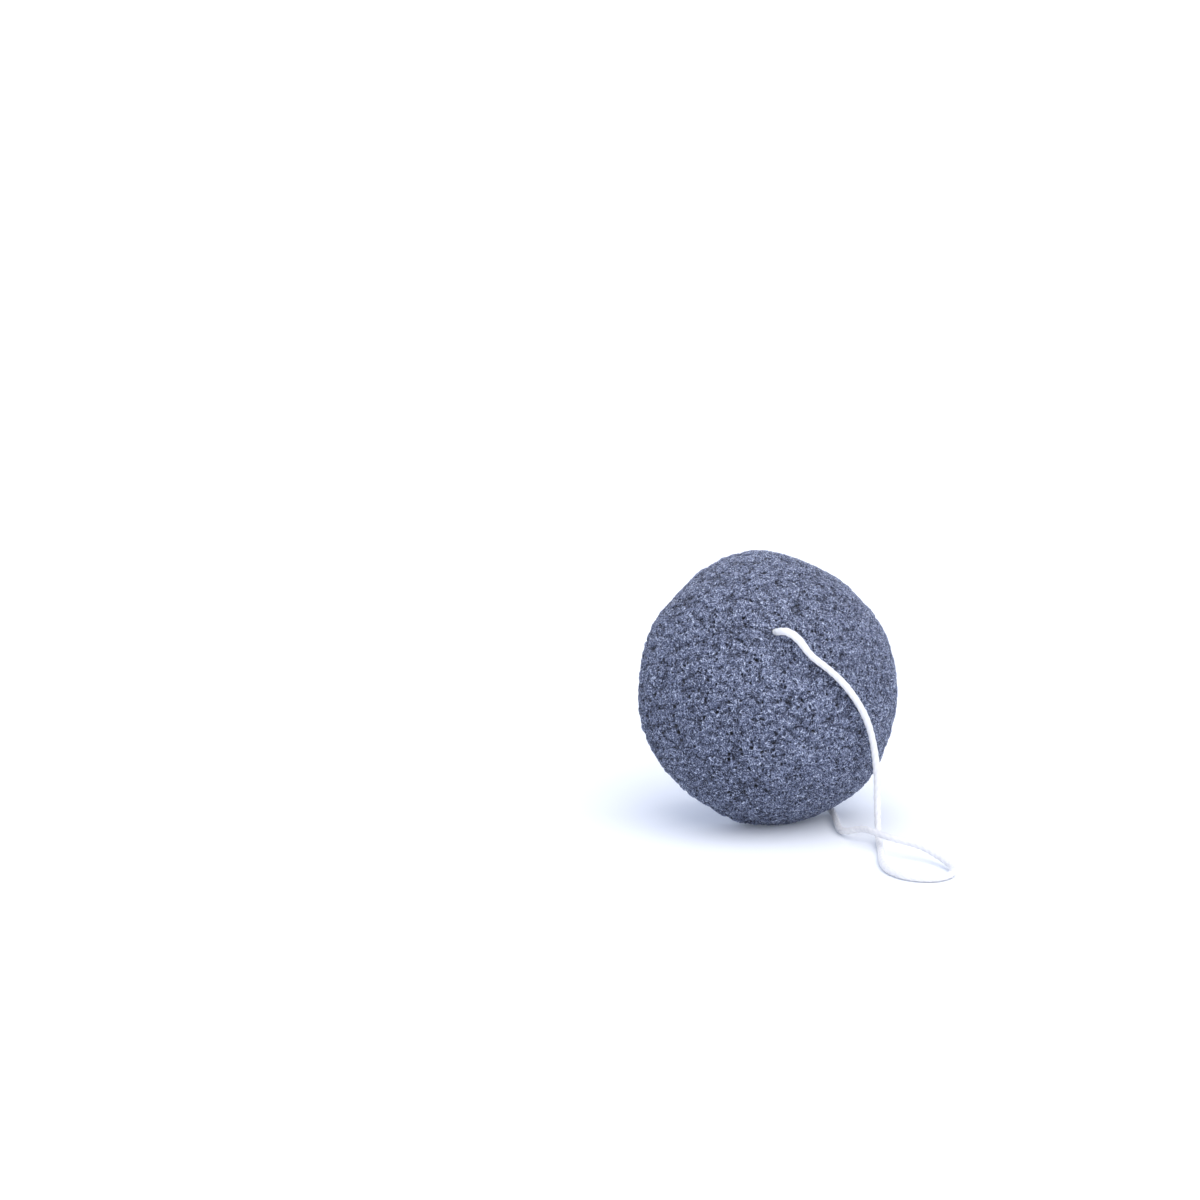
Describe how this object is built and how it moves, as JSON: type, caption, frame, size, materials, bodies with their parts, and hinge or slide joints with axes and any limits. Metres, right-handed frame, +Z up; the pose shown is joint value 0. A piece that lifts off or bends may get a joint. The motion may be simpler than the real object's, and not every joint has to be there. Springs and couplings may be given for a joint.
{
  "type": "konjac sponge",
  "caption": "charcoal konjac foam half ball for washing the face, with a soft porous dome, a flat back and a knotted cotton string through it to hang it up",
  "frame": {"origin": "under the middle of the sponge, on the surface that it stands on", "axes": "+Z is up, the dome looks along -Y and leans back 17 degrees, the flat back looks along +Y, and +X is to the right when the dome is faced"},
  "size_m": [0.08, 0.1037, 0.0775],
  "materials": {
    "konjac_foam": "matte",
    "cotton_string": "matte"
  },
  "bodies": {
    "root": {"sponge_body": "konjac_foam", "string_in_channel": "cotton_string", "string_loop": "cotton_string", "string_knot": "cotton_string"}
  },
  "joints": []
}
